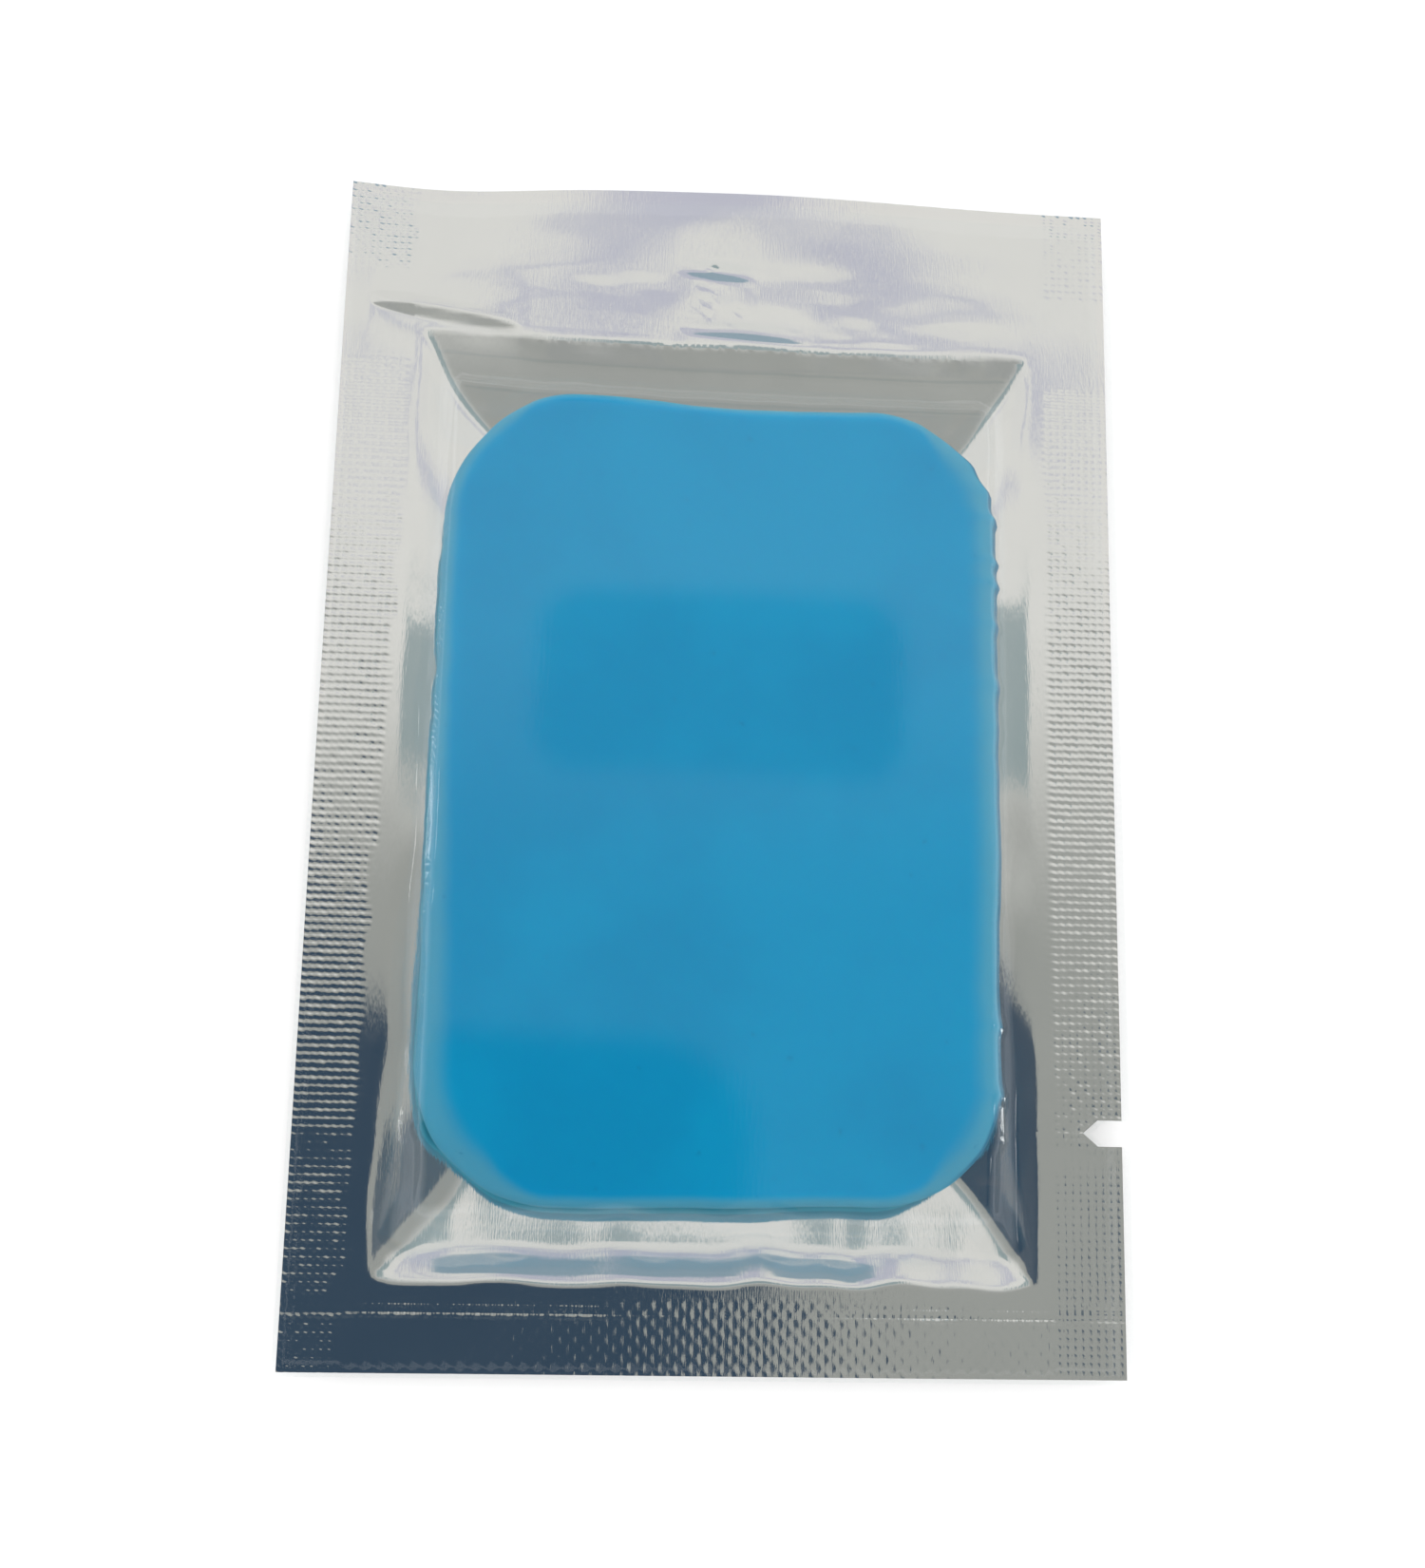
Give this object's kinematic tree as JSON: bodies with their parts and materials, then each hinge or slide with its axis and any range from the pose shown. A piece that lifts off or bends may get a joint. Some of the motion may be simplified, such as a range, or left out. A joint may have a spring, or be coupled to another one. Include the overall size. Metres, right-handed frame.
{
  "type": "clay bar",
  "caption": "Flat blue detailing clay bar with rounded corners, sealed in a foil-backed sachet with a clear front film, knurled heat seals and a tear notch.",
  "frame": {"origin": "middle of the sachet's outline, on the plane that its foil back lies on", "axes": "+X across the sachet towards the tear notch's edge, +Y along the sachet towards the unsealed lip, +Z out of the clear front film"},
  "size_m": [0.08, 0.12, 0.0083],
  "materials": {
    "clay": "smooth, slightly waxy blue polymer clay, paler and translucent at its thin rim",
    "clear_film": "clear glossy laminate, knurled in the heat seals",
    "foil_film": "bright metallised foil laminate with a fine grain along its length, knurled in the heat seals"
  },
  "bodies": {
    "sachet": {"front_film": "clear_film", "back_foil": "foil_film"},
    "clay": {"clay_bar": "clay"},
    "tear_end": {"tear_end_front_film": "clear_film", "tear_end_back_foil": "foil_film"}
  },
  "joints": [
    {"name": "clay_slide_out", "type": "slide", "parent": "sachet", "child": "clay", "axis": [0, -1, 0], "range_m": [0, 0.08]},
    {"name": "tear_end_pull_off", "type": "slide", "parent": "clay", "child": "tear_end", "axis": [0, -1, 0], "range_m": [0, 0.03]}
  ]
}
